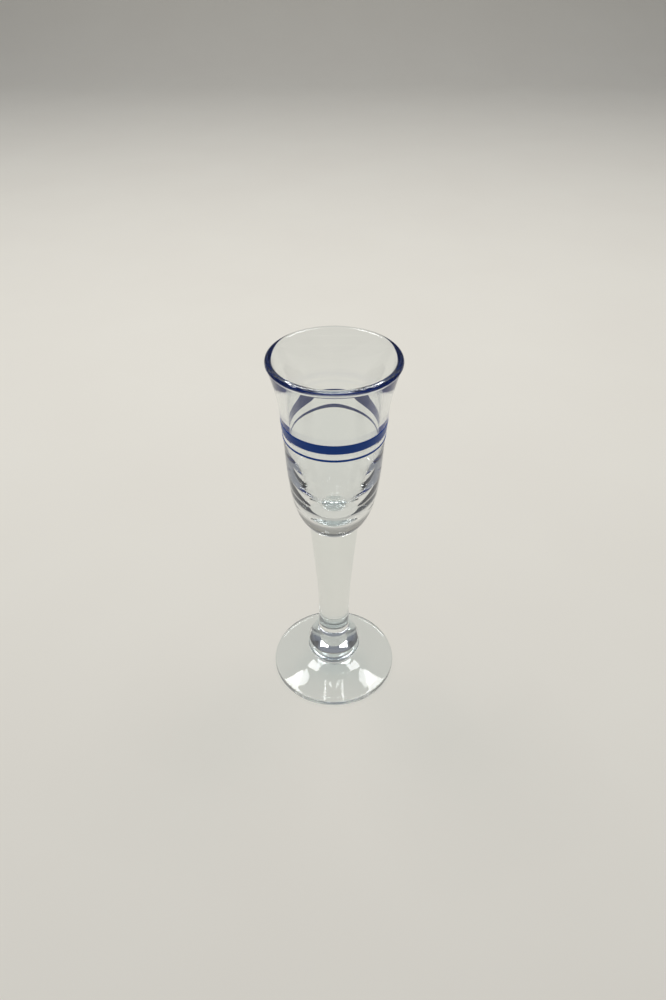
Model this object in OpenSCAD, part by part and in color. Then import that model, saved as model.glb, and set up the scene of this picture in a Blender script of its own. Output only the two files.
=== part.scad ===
// Schnapps glass: a thick blown bowl with a flared lip and two fired enamel bands, on a solid
// drawn stem, a ball knop made of two fused buttons, and a shallow conical foot.
// Millimetres, +Z up. The glass stands on z = 0 and its axis is the Z axis.

/* [Foot] */
// Diameter of the foot
foot_d = 51.4; // [46:0.2:58]
// Thickness of the foot at its rounded edge
foot_edge = 2.5; // [1.8:0.1:3.2]
// Slope of the foot's upper face, degrees
foot_slope = 7; // [4:0.5:9]
// Height of the seam where the collar is fused on
foot_h = 5.7; // [5:0.1:7]
// How far the cove round the collar reaches out over the foot
foot_cove = 5.4; // [3:0.2:8]
// Height of the hollow under the foot
kick_h = 2; // [1:0.1:2.6]
// Pull of the hollow's curve at its middle and at its edge
kick_lead = 9; // [6:0.5:10]
// Width of the flat ring that the foot stands on
rest_w = 2; // [1.5:0.1:4]

/* [Knop] */
// Diameter of the ball that collar and knop form together
knop_d = 22; // [19:0.2:25]
// Height of the collar, from the foot's seam to the ball's seam
collar_h = 7.6; // [6:0.1:8.6]
// Height of the ball's seam over the middle of the ball
seam_rise = 0.7; // [0:0.1:1.5]
// Rounding of both edges along the ball's seam
seam_round = 2; // [1:0.1:2.4]
// Diameter of the weld in the ball's seam, inside the groove
weld_d = 8; // [6:0.2:12]
// Half-width of the groove in the ball's seam, where the rounded edges start
groove = 0.3; // [0.1:0.05:0.5]
// Diameter where the ball ends and the neck under the stem starts
neck_d = 13.2; // [12.6:0.1:14.6]
// Height of the neck
neck_h = 5; // [3:0.2:7]

/* [Stem] */
// Length of the stem, from the neck to the bowl
stem_l = 53.1; // [40:0.5:65]
// Diameter of the stem at its slim lower end
stem_d = 12.4; // [11:0.1:13]
// Length of the slim, even part at the lower end
stem_slim = 22; // [14:0.5:28]
// Length of the taper under the bowl
stem_taper = 18; // [10:0.5:24]
// Lean of the taper under the bowl, degrees
stem_lean = 4; // [1:0.5:8]

/* [Bowl] */
// Height of the bowl, from its seam with the stem to the top of the lip
bowl_h = 69.8; // [64:0.1:78]
// Diameter of the seam between bowl and stem
base_d = 18.6; // [16.4:0.2:21]
// Solid glass between the seam and the floor of the cavity
base_t = 5; // [3:0.1:12]
// Lean of the underside where it leaves the seam, degrees
base_lean = 44.1; // [36:0.1:58]
// Pull of the underside's roundness at the seam
base_lead = 8.1; // [5:0.1:10]
// Outside diameter at the waist, the straightest part of the wall
waist_d = 35; // [32:0.2:38]
// Distance of the waist below the top of the lip
waist_drop = 35.3; // [31:0.1:40]
// Lean of the wall at the waist, degrees
waist_lean = 3; // [1:0.5:5]
// Pull of the belly's curve below the waist
belly_lead = 19; // [12:0.1:22]
// Pull of the flare's curve above the waist
flare_lead = 15; // [9:0.1:19]
// Wall thickness at the waist
wall_t = 2.85; // [1.8:0.05:3.8]
// Lean of the cavity's side at the waist, degrees
cavity_lean = 7.9; // [0:0.1:12]
// Pull of the cavity's curve above the waist
cavity_rise = 7.8; // [5:0.1:16]
// Pull of the cavity's curve below the waist
cavity_lead = 14.9; // [8:0.1:22]
// Half-width of the flattest part of the cavity's floor
floor_lead = 8.9; // [4:0.1:11]

/* [Lip] */
// Outside diameter over the lip
lip_d = 45.4; // [41:0.2:50]
// Thickness of the lip's round bead
lip_t = 2.4; // [2:0.1:3]
// Wall thickness where the bead starts
lip_wall = 1.9; // [1.2:0.05:1.95]
// Lean of the wall's outside under the bead, degrees
lip_lean = 19.1; // [14:0.1:32]
// Extra lean of the wall's inside under the bead, degrees
lip_taper = 2.8; // [-4:0.1:10]
// Pull of the flare's curve under the lip, outside
lip_lead = 9.2; // [4:0.1:13]
// Pull of the flare's curve under the lip, inside
lip_lead_in = 12.8; // [5:0.1:14]

/* [Enamel bands] */
// Thickness of the fired enamel
enamel_t = 0.15; // [0.1:0.05:0.4]
// Distance of the wide band below the top of the lip
band_drop = 22.5; // [12:0.1:30]
// Width of the wide band
band_w = 3.6; // [2:0.1:6]
// Clear glass between the two bands
band_gap = 2.4; // [1:0.1:5]
// Width of the narrow band
line_w = 0.9; // [0.5:0.1:2]

/* [Hidden] */
glass_colour = [0.84, 0.89, 0.88, 0.45];
enamel_colour = "#1c3168";
// Facets round the axis, and straight steps along each curve
$fn = 180;
steps = 16;
// Shape of the foot's cove, as parts of its reach and height: start, end and dip of its pull
cove_start = 0.5;
cove_end = 0.12;
cove_sag = 0.55;
// Shape of the neck: how far its pull goes in and up where it leaves the ball
neck_in = 0.3;
neck_up = 0.16;

// Heights of the seams, from the foot up
knop_z = foot_h + collar_h;
ball_r = knop_d / 2;
ball_z = knop_z - seam_rise;
neck_z = ball_z + sqrt(pow(ball_r, 2) - pow(neck_d / 2, 2));
stem_z = neck_z + neck_h;
bowl_z = stem_z + stem_l;
top_z = bowl_z + bowl_h;

// Radius of the ball at a height, and the angle of that point seen from the ball's middle
function ball_radius(z) = sqrt(pow(ball_r, 2) - pow(z - ball_z, 2));
function ball_angle(z) = asin((z - ball_z) / ball_r);

// A direction that leans out from the vertical
function lean(angle) = [sin(angle), cos(angle)];
// A cubic curve from a to d, leaving towards b and arriving from c
function curve(a, b, c, d) =
    [for (i = [0:steps])
        let (t = i / steps, s = 1 - t)
        s * s * s * a + 3 * s * s * t * b + 3 * s * t * t * c + t * t * t * d];
// A circular arc round a centre
function arc(centre, r, from, to) =
    [for (i = [0:steps])
        let (a = from + (to - from) * i / steps)
        centre + r * [cos(a), sin(a)]];

// Outline of the foot, from the hollow underneath, round the edge and up the cove
edge_r = foot_edge / 2;
edge_centre = [foot_d / 2 - edge_r, edge_r];
rest_r = edge_centre.x - rest_w;
slope_top = edge_centre + edge_r * lean(foot_slope);
collar_r = ball_radius(foot_h);
cove_r = collar_r + foot_cove;
cove_z = slope_top.y + (slope_top.x - cove_r) * tan(foot_slope);
foot_outline = concat(
    curve([0, kick_h],
          [kick_lead, kick_h],
          [rest_r - kick_lead, kick_lead * tan(foot_slope)],
          [rest_r, 0]),
    arc(edge_centre, edge_r, -90, 90 - foot_slope),
    curve([cove_r, cove_z],
          [cove_r, cove_z] + foot_cove * cove_start * [-1, tan(foot_slope)],
          [collar_r + foot_cove * cove_end, foot_h - (foot_h - cove_z) * cove_sag],
          [collar_r, foot_h]),
    [[0, foot_h]]);

// Middle of the rounded edge that starts at a height on the ball
function seam_edge(z) = [ball_radius(z) - seam_round, z];

// Outline of the collar, the lower button of the ball
collar_edge = seam_edge(knop_z - groove - seam_round);
collar_outline = concat(
    [[0, foot_h]],
    arc([0, ball_z], ball_r, ball_angle(foot_h), ball_angle(collar_edge.y)),
    arc(collar_edge, seam_round, 0, 90),
    [[weld_d / 2, knop_z], [0, knop_z]]);

// Outline of the knop, the upper button, with the neck that leads into the stem
knop_edge = seam_edge(knop_z + groove + seam_round);
knop_outline = concat(
    [[0, knop_z], [weld_d / 2, knop_z]],
    arc(knop_edge, seam_round, -90, 0),
    arc([0, ball_z], ball_r, ball_angle(knop_edge.y), ball_angle(neck_z)),
    curve([neck_d / 2, neck_z],
          [neck_d / 2 - (neck_d - stem_d) * neck_in, neck_z + neck_h * neck_up],
          [stem_d / 2, stem_z - neck_h / 2],
          [stem_d / 2, stem_z]),
    [[0, stem_z]]);

// Outline of the stem, slim below and drawn out wide into the bowl
stem_side = curve([stem_d / 2, stem_z],
                  [stem_d / 2, stem_z + stem_slim],
                  [base_d / 2, bowl_z] - stem_taper * lean(stem_lean),
                  [base_d / 2, bowl_z]);
stem_outline = concat([[0, stem_z]], stem_side, [[0, bowl_z]]);

// Outline of the bowl: outside from the seam to the lip, round the lip, and down the cavity
lip_r = lip_t / 2;
lip_centre = [lip_d / 2 - lip_r, top_z - lip_r];
lip_proud = acos(lip_wall / lip_t);
lip_bead = arc(lip_centre, lip_r, -lip_lean - lip_proud, 180 - lip_lean + lip_proud);
lip_out = lip_bead[0];
lip_in = lip_bead[steps];
waist_z = top_z - waist_drop;
waist = [waist_d / 2, waist_z];
waist_in = [waist_d / 2 - wall_t, waist_z];
floor_z = bowl_z + base_t;
bowl_outside = concat(
    curve([base_d / 2, bowl_z],
          [base_d / 2, bowl_z] + base_lead * lean(base_lean),
          waist - belly_lead * lean(waist_lean),
          waist),
    curve(waist,
          waist + flare_lead * lean(waist_lean),
          lip_out - lip_lead * lean(lip_lean),
          lip_out));
bowl_inside = concat(
    curve(lip_in,
          lip_in - lip_lead_in * lean(lip_lean + lip_taper),
          waist_in + cavity_rise * lean(cavity_lean),
          waist_in),
    curve(waist_in,
          waist_in - cavity_lead * lean(cavity_lean),
          [floor_lead, floor_z],
          [0, floor_z]));
bowl_outline = concat(
    [[0, bowl_z]],
    bowl_outside,
    lip_bead,
    bowl_inside);

// Radius of the bowl's outside at a height, and a band of enamel that lies on it
function bowl_radius(z) = lookup(z, [for (p = bowl_outside) [p.y, p.x]]);
function band_seat(z0, z1) = concat(
    [[bowl_radius(z0), z0]],
    [for (p = bowl_outside) if (p.y > z0 && p.y < z1) p],
    [[bowl_radius(z1), z1]]);
band_top = top_z - band_drop;
line_top = band_top - band_w - band_gap;

module turned(outline) {
    rotate_extrude()
        polygon(outline);
}

module band(z0, z1) {
    seat = band_seat(z0, z1);
    face = [for (i = [len(seat) - 1:-1:0]) seat[i] + [enamel_t, 0]];
    color(enamel_colour)
        turned(concat(seat, face));
}

module foot() {
    color(glass_colour)
        turned(foot_outline);
}

module collar() {
    color(glass_colour)
        turned(collar_outline);
}

module knop() {
    color(glass_colour)
        turned(knop_outline);
}

module stem() {
    color(glass_colour)
        turned(stem_outline);
}

module bowl() {
    color(glass_colour)
        turned(bowl_outline);
}

module wide_band() {
    band(band_top - band_w, band_top);
}

module narrow_band() {
    band(line_top - line_w, line_top);
}

foot();
collar();
knop();
stem();
bowl();
wide_band();
narrow_band();
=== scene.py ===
"""A schnapps glass: clear blown glass on a solid stem, a ball knop and a foot, with two enamel bands.

Every piece is a turned form. Its outline is drawn in millimetres as radius and height, spun round the
glass's axis and dressed as fire-polished glass or fired enamel. Heights and diameters come from the frame.
"""

import logging
import math
from dataclasses import dataclass, field
from enum import Enum
from functools import lru_cache

import bmesh
import bpy
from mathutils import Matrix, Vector


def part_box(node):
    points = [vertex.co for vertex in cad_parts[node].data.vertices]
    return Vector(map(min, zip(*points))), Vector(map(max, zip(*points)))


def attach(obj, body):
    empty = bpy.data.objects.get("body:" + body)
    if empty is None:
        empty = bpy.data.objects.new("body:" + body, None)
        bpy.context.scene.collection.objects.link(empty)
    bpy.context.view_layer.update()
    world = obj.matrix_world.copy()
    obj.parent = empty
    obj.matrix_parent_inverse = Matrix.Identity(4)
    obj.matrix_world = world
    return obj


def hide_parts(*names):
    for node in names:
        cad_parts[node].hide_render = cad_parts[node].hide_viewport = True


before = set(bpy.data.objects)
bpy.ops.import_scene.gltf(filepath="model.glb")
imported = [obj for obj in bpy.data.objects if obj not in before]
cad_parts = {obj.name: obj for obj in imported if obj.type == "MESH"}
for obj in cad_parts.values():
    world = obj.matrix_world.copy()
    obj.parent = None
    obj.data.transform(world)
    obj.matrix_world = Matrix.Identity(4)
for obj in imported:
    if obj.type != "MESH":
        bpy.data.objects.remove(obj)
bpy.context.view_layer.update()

MM = 0.001
BODY = "root"
BANDS = ("wide_band", "narrow_band")
LOG = logging.getLogger("schnapps_glass")

Outline = list[Vector]
Colour = tuple[float, float, float, float]


class Slot(Enum):
    """Material slots of the record."""

    GLASS = "clear_glass"
    ENAMEL = "blue_enamel"


class Surface(Enum):
    """The finishes of a glass piece, by their place in its material list."""

    OPEN = 0
    SEAM = 1
    ENAMELLED = 2


def linear(code: str) -> Colour:
    """Turn an sRGB hex colour into linear light.

    Args:
        code: The colour as #rrggbb.

    Returns:
        Red, green, blue and a full alpha.
    """
    parts = [int(code[i:i + 2], 16) / 255 for i in (1, 3, 5)]
    light = [c / 12.92 if c <= 0.04045 else ((c + 0.055) / 1.055) ** 2.4 for c in parts]
    return light[0], light[1], light[2], 1.0


def add_node(tree: bpy.types.NodeTree, kind: str, values: dict | None = None,
             links: dict | None = None, **settings: object) -> bpy.types.Node:
    """Add one node with its settings, values and links.

    Args:
        tree: The node tree that takes the node.
        kind: The node's Blender type.
        values: Numbers and colours by input socket.
        links: Output sockets by the input socket that they feed.
        **settings: The node's own properties.

    Returns:
        The new node.
    """
    node = tree.nodes.new(kind)
    for name, value in settings.items():
        setattr(node, name, value)
    for socket, value in (values or {}).items():
        node.inputs[socket].default_value = value
    for socket, source in (links or {}).items():
        tree.links.new(source, node.inputs[socket])
    return node


def new_material(name: str) -> tuple[bpy.types.Material, bpy.types.NodeTree]:
    """Make an empty node material.

    Args:
        name: The material's name.

    Returns:
        The material and its node tree.
    """
    material = bpy.data.materials.new(name)
    material.use_nodes = True
    material.node_tree.nodes.clear()
    return material, material.node_tree


def per_metre(size_mm: float) -> float:
    """Give the texture scale at which a pattern repeats every size_mm."""
    return 1 / (size_mm * MM)


def show(name: str, mesh: bmesh.types.BMesh) -> bpy.types.Object:
    """Make a shown object of a mesh.

    Args:
        name: The object's name.
        mesh: Its mesh, which is freed.

    Returns:
        The object, at the origin.
    """
    data = bpy.data.meshes.new(name)
    mesh.to_mesh(data)
    mesh.free()
    shown = bpy.data.objects.new(name, data)
    bpy.context.scene.collection.objects.link(shown)
    return shown


@dataclass(frozen=True)
class ClearGlass:
    """Soda-lime glass, blown and drawn by hand and fire-polished.

    It gives the eye sharp reflections, strong bending of light where it is thick, a faint cool tint, and
    the soft unevenness of streaks that were drawn out along the stem and the wall.
    """

    name: str = "blown_clear_glass"
    tint: str = "#f5f8f8"
    streak_tint: str = "#f8fafa"
    shadow: str = "#fbfcfc"
    ior: float = 1.5
    roughness: float = 0.0
    streak_mm: float = 6.0
    streak_length: float = 8.0
    ripple_mm: float = 0.012
    lip_ripple: float = 0.0
    lip_calm_mm: tuple[float, float] = (104.0, 122.0)

    def make(self) -> bpy.types.Material:
        """Build the glass, which lets the lamps shine through in its shadow.

        Returns:
            The material.
        """
        material, tree = new_material(self.name)
        place = add_node(tree, "ShaderNodeTexCoord")
        drawn = add_node(tree, "ShaderNodeMapping", {"Scale": (1.0, 1.0, 1 / self.streak_length)},
                         {"Vector": place.outputs["Object"]})
        streaks = add_node(tree, "ShaderNodeTexNoise",
                           {"Scale": per_metre(self.streak_mm), "Detail": 2.0, "Roughness": 0.4},
                           {"Vector": drawn.outputs["Vector"]})
        tone = add_node(tree, "ShaderNodeMix", {"A": linear(self.tint), "B": linear(self.streak_tint)},
                        {"Factor": streaks.outputs["Fac"]}, data_type="RGBA")
        # The fire that rounds the lip also melts the ripple of the wall below it smooth.
        axes = add_node(tree, "ShaderNodeSeparateXYZ", None, {"Vector": place.outputs["Object"]})
        polish = add_node(tree, "ShaderNodeMapRange",
                          {"From Min": self.lip_calm_mm[0] * MM, "From Max": self.lip_calm_mm[1] * MM,
                           "To Min": 1.0, "To Max": self.lip_ripple}, {"Value": axes.outputs["Z"]})
        ripple = add_node(tree, "ShaderNodeBump", {"Distance": self.ripple_mm * MM},
                          {"Height": streaks.outputs["Fac"], "Strength": polish.outputs["Result"]})
        glass = add_node(tree, "ShaderNodeBsdfPrincipled",
                         {"IOR": self.ior, "Roughness": self.roughness, "Transmission Weight": 1.0},
                         {"Base Color": tone.outputs["Result"], "Normal": ripple.outputs["Normal"]})
        lit = add_node(tree, "ShaderNodeBsdfTransparent", {"Color": linear(self.shadow)})
        path = add_node(tree, "ShaderNodeLightPath")
        soft = add_node(tree, "ShaderNodeMixShader", None,
                        {"Fac": path.outputs["Is Diffuse Ray"], 1: glass.outputs["BSDF"],
                         2: lit.outputs["BSDF"]})
        mix = add_node(tree, "ShaderNodeMixShader", None,
                       {"Fac": path.outputs["Is Shadow Ray"], 1: soft.outputs["Shader"],
                        2: lit.outputs["BSDF"]})
        add_node(tree, "ShaderNodeOutputMaterial", None, {"Surface": mix.outputs["Shader"]})
        return material


# The stem is the longest solid run of glass, so its grey-green tint and its drawn streaks show most.
DRAWN_GLASS = ClearGlass(name="drawn_clear_glass", tint="#eaeeec", streak_tint="#f7f9f8")


@dataclass(frozen=True)
class FusedSeam:
    """The face where two gathers of hot glass were welded into one.

    It gives the eye no edge: light goes straight through, as inside one piece of glass. Light that runs
    down the length of the stem crosses every weld, and so comes out cooler and greyer.
    """

    name: str = "fused_glass_seam"
    tint: str = "#f8fafb"

    def make(self) -> bpy.types.Material:
        """Build the unseen face of a weld.

        Returns:
            The material.
        """
        material, tree = new_material(self.name)
        clear = add_node(tree, "ShaderNodeBsdfTransparent", {"Color": linear(self.tint)})
        add_node(tree, "ShaderNodeOutputMaterial", None, {"Surface": clear.outputs["BSDF"]})
        return material


@dataclass(frozen=True)
class FiredEnamel:
    """Cobalt enamel, laid on the turning glass with a brush and fired until it flows.

    It gives the eye a deep blue with a soft gloss, and faint streaks that run round the glass where the
    brush left the coat thin.
    """

    name: str = "fired_cobalt_enamel"
    deep: str = "#083d95"
    thin: str = "#1054b4"
    ior: float = 1.55
    sheen: float = 0.15
    gloss: tuple[float, float] = (0.16, 0.30)
    streak_mm: float = 0.6
    streak_length: float = 14.0
    bump_mm: float = 0.01

    def make(self) -> bpy.types.Material:
        """Build the outer face of the enamel.

        Returns:
            The material.
        """
        material, tree = new_material(self.name)
        place = add_node(tree, "ShaderNodeTexCoord")
        along = add_node(tree, "ShaderNodeMapping",
                         {"Scale": (1 / self.streak_length, 1 / self.streak_length, 1.0)},
                         {"Vector": place.outputs["Object"]})
        brush = add_node(tree, "ShaderNodeTexNoise",
                         {"Scale": per_metre(self.streak_mm), "Detail": 3.0, "Roughness": 0.55},
                         {"Vector": along.outputs["Vector"]})
        coat = add_node(tree, "ShaderNodeMix", {"A": linear(self.deep), "B": linear(self.thin)},
                        {"Factor": brush.outputs["Fac"]}, data_type="RGBA")
        gloss = add_node(tree, "ShaderNodeMapRange",
                         {"To Min": self.gloss[0], "To Max": self.gloss[1]},
                         {"Value": brush.outputs["Fac"]})
        bump = add_node(tree, "ShaderNodeBump", {"Strength": 1.0, "Distance": self.bump_mm * MM},
                        {"Height": brush.outputs["Fac"]})
        enamel = add_node(tree, "ShaderNodeBsdfPrincipled",
                          {"IOR": self.ior, "Specular IOR Level": self.sheen},
                          {"Base Color": coat.outputs["Result"], "Roughness": gloss.outputs["Result"],
                           "Normal": bump.outputs["Normal"]})
        add_node(tree, "ShaderNodeOutputMaterial", None, {"Surface": enamel.outputs["BSDF"]})
        return material


@dataclass(frozen=True)
class EnamelUnderside:
    """The same enamel, seen through the glass that it is fused to.

    It gives the eye an even, matt blue, because no air lies between the two and nothing glints there.
    The lip gathers this blue and shows it along its sides.
    """

    name: str = "cobalt_enamel_seen_through_glass"
    deep: str = "#11307e"
    thin: str = "#173a92"
    cloud_mm: float = 4.0

    def make(self) -> bpy.types.Material:
        """Build the inner face of the enamel.

        Returns:
            The material.
        """
        material, tree = new_material(self.name)
        place = add_node(tree, "ShaderNodeTexCoord")
        cloud = add_node(tree, "ShaderNodeTexNoise",
                         {"Scale": per_metre(self.cloud_mm), "Detail": 2.0},
                         {"Vector": place.outputs["Object"]})
        coat = add_node(tree, "ShaderNodeMix", {"A": linear(self.deep), "B": linear(self.thin)},
                        {"Factor": cloud.outputs["Fac"]}, data_type="RGBA")
        matt = add_node(tree, "ShaderNodeBsdfPrincipled", {"Roughness": 1.0, "Specular IOR Level": 0.0},
                        {"Base Color": coat.outputs["Result"]})
        add_node(tree, "ShaderNodeOutputMaterial", None, {"Surface": matt.outputs["BSDF"]})
        return material


@dataclass(frozen=True)
class StudioPaper:
    """Heavy photographer's paper, matt and uncoated.

    It gives the eye a warm pale grey with barely visible clouds.
    """

    name: str = "matt_paper_sweep"
    pale: str = "#e3dfd4"
    grey: str = "#dfdacf"
    cloud_mm: float = 90.0

    def make(self) -> bpy.types.Material:
        """Build the paper.

        Returns:
            The material.
        """
        material, tree = new_material(self.name)
        place = add_node(tree, "ShaderNodeTexCoord")
        cloud = add_node(tree, "ShaderNodeTexNoise",
                         {"Scale": per_metre(self.cloud_mm), "Detail": 3.0},
                         {"Vector": place.outputs["Object"]})
        tone = add_node(tree, "ShaderNodeMix", {"A": linear(self.grey), "B": linear(self.pale)},
                        {"Factor": cloud.outputs["Fac"]}, data_type="RGBA")
        paper = add_node(tree, "ShaderNodeBsdfPrincipled", {"Roughness": 0.8, "Specular IOR Level": 0.1},
                         {"Base Color": tone.outputs["Result"]})
        add_node(tree, "ShaderNodeOutputMaterial", None, {"Surface": paper.outputs["BSDF"]})
        return material


# The same paper, dyed dull dark grey: hidden from the camera, it paints dark reflections into the glass.
DARK_REFLECTION_CARD = StudioPaper(name="dark_reflection_card", pale="#3c3c3f", grey="#37373a")


@lru_cache(maxsize=None)
def cad_box(node: str) -> tuple[Vector, Vector]:
    """Give the lowest and highest corner of a CAD node in mm, measured once."""
    lowest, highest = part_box(node)
    return lowest / MM, highest / MM


def low(node: str) -> float:
    """Give the height in mm of a CAD node's underside."""
    return cad_box(node)[0].z


def high(node: str) -> float:
    """Give the height in mm of a CAD node's top."""
    return cad_box(node)[1].z


def width(node: str) -> float:
    """Give the diameter in mm of a CAD node."""
    lowest, highest = cad_box(node)
    return highest.x - lowest.x


def point(radius: float, height: float) -> Vector:
    """Make a point of an outline from its radius and height in mm."""
    return Vector((radius, height))


def lean(degrees: float) -> Vector:
    """Make a direction that leans out from the vertical."""
    return Vector((math.sin(math.radians(degrees)), math.cos(math.radians(degrees))))


def curve(a: Vector, b: Vector, c: Vector, d: Vector, steps: int = 44) -> Outline:
    """Draw a cubic curve.

    Args:
        a: Start.
        b: Where the curve heads for at its start.
        c: Where it comes from at its end.
        d: End.
        steps: Straight steps along it.

    Returns:
        Its points, both ends included.
    """
    points = []
    for i in range(steps + 1):
        t = i / steps
        s = 1 - t
        points.append(s ** 3 * a + 3 * s * s * t * b + 3 * s * t * t * c + t ** 3 * d)
    return points


def arc(centre: Vector, radius: float, start: float, end: float, steps: int = 28) -> Outline:
    """Draw a circular arc.

    Args:
        centre: Its middle.
        radius: Its radius.
        start: Angle of its first point, in degrees.
        end: Angle of its last point, in degrees.
        steps: Straight steps along it.

    Returns:
        Its points, both ends included.
    """
    points = []
    for i in range(steps + 1):
        angle = math.radians(start + (end - start) * i / steps)
        points.append(centre + radius * Vector((math.cos(angle), math.sin(angle))))
    return points


@dataclass(frozen=True)
class Lathe:
    """Turns outlines into closed, smooth pieces."""

    facets: int = 256
    weld_mm: float = 0.0005
    crease: float = 34.0
    level_normal: float = 0.9999

    def turn(self, outline: Outline, ring: bool = False) -> bmesh.types.BMesh:
        """Spin an outline round the axis.

        Args:
            outline: Points from axis to axis, or round the section of a ring.
            ring: Whether the outline closes on itself instead of on the axis.

        Returns:
            The turned mesh, in metres.
        """
        mesh = bmesh.new()
        verts = [mesh.verts.new((p.x * MM, 0.0, p.y * MM)) for p in outline]
        ends = verts[1:] + verts[:1] if ring else verts[1:]
        edges = [mesh.edges.new(pair) for pair in zip(verts, ends)]
        bmesh.ops.spin(mesh, geom=verts + edges, cent=(0, 0, 0), axis=(0, 0, 1),
                       angle=math.tau, steps=self.facets, use_merge=True)
        bmesh.ops.remove_doubles(mesh, verts=mesh.verts, dist=self.weld_mm * MM)
        bmesh.ops.recalc_face_normals(mesh, faces=mesh.faces)
        return mesh

    def finish(self, name: str, mesh: bmesh.types.BMesh) -> bpy.types.Object:
        """Make a shown object of a turned mesh, smooth but for its creases.

        Args:
            name: The piece's name.
            mesh: The turned mesh, which is freed.

        Returns:
            The object.
        """
        piece = show(name, mesh)
        piece.data.shade_smooth()
        piece.data.set_sharp_from_angle(angle=math.radians(self.crease))
        return piece


@dataclass(frozen=True)
class Seating:
    """Where a piece belongs in the frame."""

    node: str
    slot: Slot

    def place(self, piece: bpy.types.Object) -> bpy.types.Object:
        """Let the piece ride on the glass's body in place of its CAD node.

        Args:
            piece: The finished piece.

        Returns:
            The same piece.
        """
        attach(piece, BODY)
        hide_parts(self.node)
        return piece


@dataclass
class TurnedGlass:
    """A solid piece of glass, welded to its neighbours at flat seams.

    Its outline runs from the axis, round the outside and back to the axis.
    """

    node: str
    lathe: Lathe = field(default_factory=Lathe)

    def outline(self) -> Outline:
        """Draw the section of the piece."""
        raise NotImplementedError

    def seams(self) -> list[float]:
        """List the heights in mm of the flat faces that are welded to other pieces."""
        return [low(self.node), high(self.node)]

    def shape(self, mesh: bmesh.types.BMesh) -> None:
        """Work the turned mesh further, where the piece needs it."""

    def surface(self, face: bmesh.types.BMFace) -> Surface:
        """Tell which finish a face has.

        Args:
            face: A face of the turned mesh.

        Returns:
            The finish.
        """
        level = face.calc_center_median().z / MM
        flat = abs(face.normal.z) > self.lathe.level_normal
        welded = any(abs(level - seam) < self.lathe.weld_mm for seam in self.seams())
        return Surface.SEAM if flat and welded else Surface.OPEN

    def build(self) -> bpy.types.Object:
        """Turn the piece, sort its faces by finish and seat it.

        Returns:
            The undressed piece.
        """
        mesh = self.lathe.turn(self.outline())
        self.shape(mesh)
        for face in mesh.faces:
            face.material_index = self.surface(face).value
        return Seating(self.node, Slot.GLASS).place(self.lathe.finish(f"{self.node}_glass", mesh))

    def dress(self, piece: bpy.types.Object, finishes: list[bpy.types.Material]) -> None:
        """Give the piece its finishes.

        Args:
            piece: The built piece.
            finishes: Materials in the order of Surface.
        """
        for material in finishes:
            piece.data.materials.append(material)


@dataclass
class Foot(TurnedGlass):
    """The shallow conical foot, with a rounded edge and a hollow under its middle."""

    node: str = "foot"
    edge: float = 2.5
    edge_round: float = 0.7
    slope: float = 7.0
    cove: float = 5.4
    hollow: float = 2.0
    hollow_lead: float = 9.0
    rest: float = 2.0
    ball_r: float = 11.0
    seam_rise: float = 0.7
    cove_out: float = 0.5
    cove_in: float = 0.12
    cove_dip: float = 0.55
    edge_steps: int = 6
    cone_steps: int = 12

    def seams(self) -> list[float]:
        """List the one seam, on top."""
        return [high(self.node)]

    def outline(self) -> Outline:
        """Draw the hollow, the rest ring, the rounded edge, the cone and the cove.

        Returns:
            The section, from the hollow's middle to the middle of the seam.
        """
        top = high(self.node)
        rest_r = (width(self.node) - self.edge) / 2 - self.rest
        ball_z = high("collar") - self.seam_rise
        collar_r = math.sqrt(self.ball_r ** 2 - (top - ball_z) ** 2)
        rise = math.tan(math.radians(self.slope))
        under = point(width(self.node) / 2 - self.edge_round, self.edge_round)
        over = point(under.x, self.edge - self.edge_round)
        side = [under.lerp(over, i / self.edge_steps) + point(self.edge_round, 0)
                for i in range(1, self.edge_steps)]
        edge = (arc(under, self.edge_round, -90, 0) + side
                + arc(over, self.edge_round, 0, 90 - self.slope))
        cove_r = collar_r + self.cove
        cove_z = edge[-1].y + (edge[-1].x - cove_r) * rise
        cone = [edge[-1].lerp(point(cove_r, cove_z), i / self.cone_steps)
                for i in range(1, self.cone_steps)]
        hollow = curve(point(0, self.hollow), point(self.hollow_lead, self.hollow),
                       point(rest_r - self.hollow_lead, self.hollow_lead * rise), point(rest_r, 0))
        flank = curve(point(cove_r, cove_z),
                      point(cove_r - self.cove * self.cove_out, cove_z + self.cove * self.cove_out * rise),
                      point(collar_r + self.cove * self.cove_in, top - (top - cove_z) * self.cove_dip),
                      point(collar_r, top))
        return hollow + edge + cone + flank + [point(0, top)]


@dataclass
class BallHalf(TurnedGlass):
    """What the two buttons of the ball share."""

    ball_d: float = 22.0
    seam_rise: float = 0.7
    seam_round: float = 2.0
    weld_d: float = 8.0
    groove: float = 0.3
    ball_steps: int = 40

    @property
    def middle(self) -> float:
        """Give the height of the ball's middle."""
        return high("collar") - self.seam_rise

    def radius(self, level: float) -> float:
        """Give the ball's radius at a height."""
        return math.sqrt((self.ball_d / 2) ** 2 - (level - self.middle) ** 2)

    def angle(self, level: float) -> float:
        """Give the angle of the ball's surface at a height, seen from its middle, in degrees."""
        return math.degrees(math.asin((level - self.middle) / (self.ball_d / 2)))

    def ball(self, start: float, end: float) -> Outline:
        """Draw the ball's surface between two heights."""
        return arc(point(0, self.middle), self.ball_d / 2, self.angle(start), self.angle(end),
                   self.ball_steps)


@dataclass
class Collar(BallHalf):
    """The lower button of the ball, between the foot and the knop."""

    node: str = "collar"

    def outline(self) -> Outline:
        """Draw the lower part of the ball, with a rounded edge at its seam.

        Returns:
            The section, from the lower seam to the upper one.
        """
        base, top = low(self.node), high(self.node)
        edge_z = top - self.groove - self.seam_round
        edge = point(self.radius(edge_z) - self.seam_round, edge_z)
        return ([point(0, base)] + self.ball(base, edge_z)
                + arc(edge, self.seam_round, 0, 90) + [point(self.weld_d / 2, top), point(0, top)])


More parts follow.
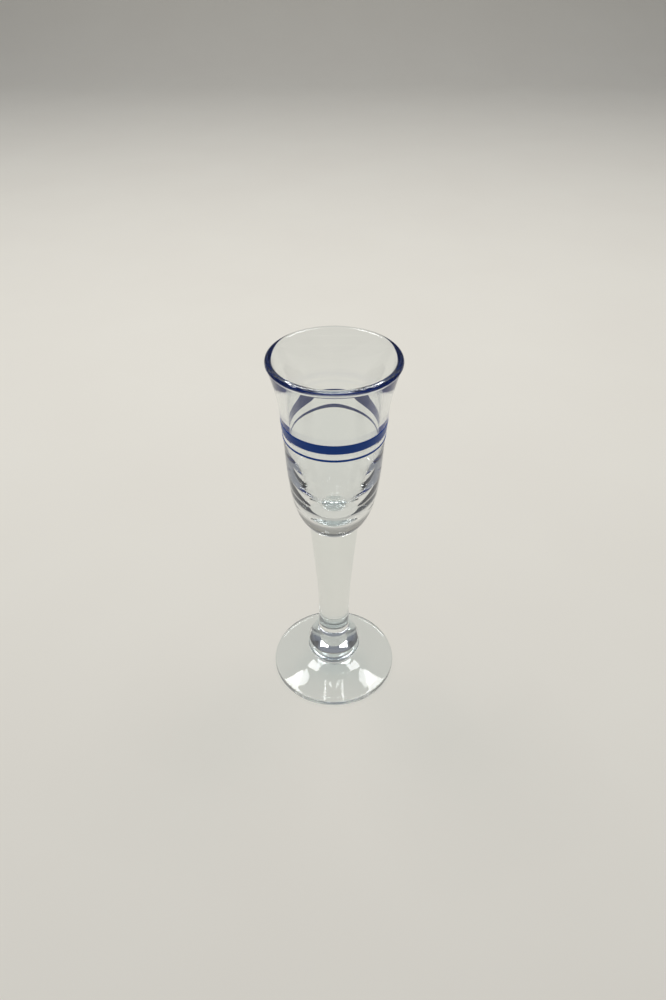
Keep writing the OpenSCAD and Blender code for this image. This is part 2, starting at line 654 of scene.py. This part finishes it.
@dataclass
class Knop(BallHalf):
    """The upper button of the ball, drawn in to the neck under the stem."""

    node: str = "knop"
    neck_d: float = 13.2
    neck_h: float = 5.0
    neck_in: float = 0.3
    neck_up: float = 0.16

    def outline(self) -> Outline:
        """Draw the rounded seam edge, the upper part of the ball and the neck.

        Returns:
            The section, from the lower seam to the upper one.
        """
        base, top = low(self.node), high(self.node)
        stem_r = Stem().diameter / 2
        edge_z = base + self.groove + self.seam_round
        edge = point(self.radius(edge_z) - self.seam_round, edge_z)
        neck_r = self.neck_d / 2
        neck_z = self.middle + math.sqrt((self.ball_d / 2) ** 2 - neck_r ** 2)
        neck = curve(point(neck_r, neck_z),
                     point(neck_r - 2 * (neck_r - stem_r) * self.neck_in,
                           neck_z + self.neck_h * self.neck_up),
                     point(stem_r, top - self.neck_h / 2),
                     point(stem_r, top))
        return ([point(0, base), point(self.weld_d / 2, base)]
                + arc(edge, self.seam_round, -90, 0) + self.ball(edge_z, neck_z)
                + neck + [point(0, top)])


@dataclass
class Stem(TurnedGlass):
    """The solid drawn stem, slim below and wide under the bowl."""

    node: str = "stem"
    diameter: float = 12.4
    slim: float = 22.0
    taper: float = 18.0
    taper_lean: float = 4.0
    steps: int = 72

    def outline(self) -> Outline:
        """Draw the stem's side between its two seams.

        Returns:
            The section, from the lower seam to the upper one.
        """
        base, top = low(self.node), high(self.node)
        slim = point(self.diameter / 2, base)
        wide = point(width(self.node) / 2, top)
        side = curve(slim, slim + point(0, self.slim), wide - self.taper * lean(self.taper_lean), wide,
                     self.steps)
        return [point(0, base)] + side + [point(0, top)]


@dataclass
class Bowl(TurnedGlass):
    """The thick blown bowl with its flared, rounded lip."""

    node: str = "bowl"
    base_t: float = 5.0
    base_lean: float = 44.1
    base_lead: float = 8.1
    waist_d: float = 35.0
    waist_drop: float = 35.3
    waist_lean: float = 3.0
    belly_lead: float = 19.0
    flare_lead: float = 15.0
    wall_t: float = 2.85
    cavity_lean: float = 7.9
    cavity_lead: float = 14.9
    cavity_rise: float = 7.8
    floor_lead: float = 8.9
    lip_t: float = 2.4
    lip_lean: float = 19.1
    lip_lead: float = 9.2
    lip_taper: float = 5.5
    lip_lead_in: float = 12.8
    bead_out: float = 20.0
    bead_in: float = 5.0

    @property
    def waist(self) -> Vector:
        """Give the outside point of the waist."""
        return point(self.waist_d / 2, high(self.node) - self.waist_drop)

    @property
    def lip(self) -> Vector:
        """Give the middle of the rounded lip."""
        return point((width(self.node) - self.lip_t) / 2, high(self.node) - self.lip_t / 2)

    def bead(self) -> Outline:
        """Draw the bead of the lip, which runs on past the wall's own lean on both sides."""
        return arc(self.lip, self.lip_t / 2,
                   -self.lip_lean - self.bead_out, 180 - self.lip_lean + self.bead_in)

    def outside(self) -> Outline:
        """Draw the outside from the seam to the lip.

        Returns:
            Its points, upwards.
        """
        seam = point(width("stem") / 2, low(self.node))
        brim = self.bead()[0]
        along = lean(self.waist_lean)
        belly = curve(seam, seam + self.base_lead * lean(self.base_lean),
                      self.waist - self.belly_lead * along, self.waist)
        flare = curve(self.waist, self.waist + self.flare_lead * along,
                      brim - self.lip_lead * lean(self.lip_lean), brim)
        return belly + flare[1:]

    def inside(self) -> Outline:
        """Draw the cavity from the lip to its floor on the axis.

        Returns:
            Its points, downwards.
        """
        brim = self.bead()[-1]
        wall = self.waist - point(self.wall_t, 0)
        floor_z = low(self.node) + self.base_t
        along = lean(self.cavity_lean)
        upper = curve(brim, brim - self.lip_lead_in * lean(self.lip_lean + self.lip_taper),
                      wall + self.cavity_rise * along, wall)
        lower = curve(wall, wall - self.cavity_lead * along,
                      point(self.floor_lead, floor_z), point(0, floor_z))
        return upper + lower[1:]

    def outline(self) -> Outline:
        """Draw the bowl's section: outside, lip and cavity."""
        return [point(0, low(self.node))] + self.outside() + self.bead()[1:-1] + self.inside()

    def seams(self) -> list[float]:
        """List the one seam, underneath."""
        return [low(self.node)]

    def shape(self, mesh: bmesh.types.BMesh) -> None:
        """Cut the wall along the edges of the enamel.

        Args:
            mesh: The turned bowl.
        """
        for band in BANDS:
            for level in (low(band), high(band)):
                bmesh.ops.bisect_plane(mesh, geom=mesh.verts[:] + mesh.edges[:] + mesh.faces[:],
                                       dist=self.lathe.weld_mm * MM, plane_co=(0, 0, level * MM),
                                       plane_no=(0, 0, 1))

    def surface(self, face: bmesh.types.BMFace) -> Surface:
        """Tell which finish a face has, with enamel on the outside within a band.

        Args:
            face: A face of the turned bowl.

        Returns:
            The finish.
        """
        middle = face.calc_center_median()
        level = middle.z / MM
        outward = face.normal.x * middle.x + face.normal.y * middle.y > 0
        if outward and any(low(band) < level < high(band) for band in BANDS):
            return Surface.ENAMELLED
        return super().surface(face)

    def radius(self, level: float) -> float:
        """Give the outside radius at a height.

        Args:
            level: Height in mm.

        Returns:
            Radius in mm.
        """
        side = self.outside()
        for below, above in zip(side, side[1:]):
            if below.y <= level <= above.y:
                return below.x + (above.x - below.x) * (level - below.y) / (above.y - below.y)
        raise ValueError(f"the bowl has no wall at {level} mm")


@dataclass
class EnamelBand:
    """A band of enamel round the outside of the bowl."""

    node: str
    bowl: Bowl
    thickness: float = 0.15
    lift: float = 0.012
    edge: float = 0.3
    edge_swell: float = 0.3
    steps: int = 12

    def outline(self) -> Outline:
        """Draw the band's section, which follows the bowl and thins out at its edges.

        Returns:
            The closed section of the ring.
        """
        base, top = low(self.node), high(self.node)
        levels = [base + (top - base) * i / self.steps for i in range(self.steps + 1)]
        seat = [point(self.bowl.radius(z) + self.lift, z) for z in levels]
        face = []
        for z in levels:
            inset = min(z - base, top - z, self.edge) / self.edge
            swell = max(math.sqrt(1 - (1 - inset) ** 2), self.edge_swell)
            face.append(point(self.bowl.radius(z) + self.lift + (self.thickness - self.lift) * swell, z))
        return seat + face[::-1]

    def build(self) -> bpy.types.Object:
        """Turn the band and seat it.

        Returns:
            The undressed band.
        """
        lathe = self.bowl.lathe
        mesh = lathe.turn(self.outline(), ring=True)
        return Seating(self.node, Slot.ENAMEL).place(lathe.finish(f"{self.node}_enamel", mesh))

    def dress(self, piece: bpy.types.Object, enamel: bpy.types.Material) -> None:
        """Give the band its enamel."""
        piece.data.materials.append(enamel)


@dataclass
class Studio:
    """A paper sweep, a dark card on either side for painted dark reflections, two soft panels, the room's
    light and the camera.

    Sizes are in metres, from the middle of the foot, and angles in degrees.
    """

    paper: StudioPaper = StudioPaper()
    card: StudioPaper = DARK_REFLECTION_CARD
    floor_width: float = 4.0
    floor_back: float = 1.2
    floor_front: float = 1.6
    sweep: float = 0.4
    floor_drop: float = 0.00002
    card_inner: tuple[tuple[float, float], ...] = ((0.165, -0.1), (0.165, -0.06), (0.3, 0.35))
    card_outer: float = 0.6
    card_lift: float = 0.0005
    panel_height: float = 1.1
    panel_out: float = 0.402
    panel_back: float = 0.355
    panel_size: tuple[float, float] = (0.45, 0.44)
    panel_turn: float = 20.0
    panel_tilt: float = 14.0
    panel_power: tuple[float, float] = (6.8, 5.8)
    room: str = "#3c3e42"
    ceiling: str = "#888c94"
    ceiling_reach: tuple[float, float] = (0.15, 0.75)
    window: str = "#606060"
    window_way: tuple[float, float, float] = (0.0, -0.9, 0.42)
    window_reach: tuple[float, float] = (0.75, 0.95)
    focal_px: float = 773.4
    image_px: tuple[int, int] = (666, 1000)
    pitch: float = 38.86
    eye: tuple[float, float, float] = (-0.0004, -0.2235, 0.2698)
    film_mm: float = 36.0
    nearest: float = 0.01
    bounces: int = 17

    def lay_floor(self) -> None:
        """Lay the paper under the glass and let it curve up at its back."""
        rise = arc(Vector((self.floor_back, self.sweep)), self.sweep, -90, 0)
        mesh = bmesh.new()
        sides = []
        for x in (-self.floor_width / 2, self.floor_width / 2):
            sides.append([mesh.verts.new((x, p.x, p.y - self.floor_drop))
                          for p in [Vector((-self.floor_front, 0.0))] + rise])
        for i in range(len(rise)):
            mesh.faces.new((sides[0][i], sides[1][i], sides[1][i + 1], sides[0][i + 1]))
        floor = show("paper_sweep", mesh)
        floor.data.shade_smooth()
        floor.data.materials.append(self.paper.make())

    def lay_reflection_cards(self) -> None:
        """Lay a dark card on either side, which only the glass shows, as its dark edges: painted dark
        reflections, hidden from the camera, from diffuse light and from shadows.
        """
        finish = self.card.make()
        inner = [Vector(corner) for corner in self.card_inner]
        outer = [Vector((self.card_outer, corner.y)) for corner in (inner[-1], inner[0])]
        for name, side in (("left_reflection_card", -1), ("right_reflection_card", 1)):
            mesh = bmesh.new()
            mesh.faces.new([mesh.verts.new((side * p.x, p.y, self.card_lift)) for p in inner + outer])
            bmesh.ops.recalc_face_normals(mesh, faces=mesh.faces)
            card = show(name, mesh)
            card.data.materials.append(finish)
            # The cards exist only as painted dark reflections in the glass; the paper beneath them stays
            # lit.
            card.visible_camera = card.visible_diffuse = card.visible_shadow = False

    def hang_panels(self) -> None:
        """Hang the two soft panels overhead, behind the glass, tilted towards it and toed in."""
        for name, side, power in zip(("left_panel", "right_panel"), (-1, 1), self.panel_power):
            lamp = bpy.data.lights.new(name, "AREA")
            lamp.shape = "RECTANGLE"
            lamp.size, lamp.size_y = self.panel_size
            lamp.energy = power
            panel = bpy.data.objects.new(name, lamp)
            panel.location = (side * self.panel_out, self.panel_back, self.panel_height)
            panel.rotation_euler = (-math.radians(self.panel_tilt), 0,
                                    -side * math.radians(self.panel_turn))
            bpy.context.scene.collection.objects.link(panel)

    def light_room(self) -> None:
        """Light the room: dim walls, a brighter ceiling and a faint window behind the camera."""
        world = bpy.data.worlds.new("room")
        bpy.context.scene.world = world
        world.use_nodes = True
        tree = world.node_tree
        tree.nodes.clear()
        place = add_node(tree, "ShaderNodeTexCoord")
        towards = add_node(tree, "ShaderNodeVectorMath", {1: Vector(self.window_way).normalized()},
                           {0: place.outputs["Generated"]}, operation="DOT_PRODUCT")
        glow = add_node(tree, "ShaderNodeMapRange",
                        {"From Min": self.window_reach[0], "From Max": self.window_reach[1]},
                        {"Value": towards.outputs["Value"]}, interpolation_type="SMOOTHSTEP")
        axes = add_node(tree, "ShaderNodeSeparateXYZ", None, {"Vector": place.outputs["Generated"]})
        lift = add_node(tree, "ShaderNodeMapRange",
                        {"From Min": self.ceiling_reach[0], "From Max": self.ceiling_reach[1]},
                        {"Value": axes.outputs["Z"]}, interpolation_type="SMOOTHSTEP")
        room = add_node(tree, "ShaderNodeMix", {"A": linear(self.room), "B": linear(self.ceiling)},
                        {"Factor": lift.outputs["Result"]}, data_type="RGBA")
        tone = add_node(tree, "ShaderNodeMix", {"B": linear(self.window)},
                        {"Factor": glow.outputs["Result"], "A": room.outputs["Result"]}, data_type="RGBA")
        light = add_node(tree, "ShaderNodeBackground", {"Strength": 1.0}, {"Color": tone.outputs["Result"]})
        add_node(tree, "ShaderNodeOutputWorld", None, {"Surface": light.outputs["Background"]})

    def set_camera(self) -> None:
        """Set the camera over the glass, looking down on it."""
        data = bpy.data.cameras.new("camera")
        data.sensor_fit = "VERTICAL"
        data.sensor_height = self.film_mm
        data.lens = self.focal_px / self.image_px[1] * self.film_mm
        data.clip_start = self.nearest
        camera = bpy.data.objects.new("camera", data)
        camera.location = self.eye
        camera.rotation_euler = (math.radians(90 - self.pitch), 0, 0)
        bpy.context.scene.collection.objects.link(camera)
        bpy.context.scene.camera = camera

    def set_up(self) -> None:
        """Set up everything round the glass, and the light's bounces inside it.

        Light that has bounced too often inside thick glass is taken up there, so the bounces end early.
        """
        self.lay_floor()
        self.lay_reflection_cards()
        self.hang_panels()
        self.light_room()
        self.set_camera()
        scene = bpy.context.scene
        scene.view_settings.view_transform = "Standard"
        scene.cycles.max_bounces = self.bounces
        scene.cycles.transmission_bounces = self.bounces
        scene.cycles.glossy_bounces = self.bounces
        scene.cycles.transparent_max_bounces = self.bounces


def main() -> None:
    """Build the glass from the foot up, band it, and set up the studio."""
    logging.basicConfig(level=logging.INFO, format="%(message)s")
    blown, seam, underside = ClearGlass().make(), FusedSeam().make(), EnamelUnderside().make()
    drawn = DRAWN_GLASS.make()
    bowl = Bowl()
    for part in (Foot(), Collar(), Knop(), Stem(), bowl):
        piece = part.build()
        part.dress(piece, [drawn if isinstance(part, Stem) else blown, seam, underside])
        LOG.info("%s: %d faces", piece.name, len(piece.data.polygons))
    enamel = FiredEnamel().make()
    for node in BANDS:
        band = EnamelBand(node, bowl)
        piece = band.build()
        band.dress(piece, enamel)
        LOG.info("%s: %d faces", piece.name, len(piece.data.polygons))
    Studio().set_up()


if __name__ == "__main__":
    main()
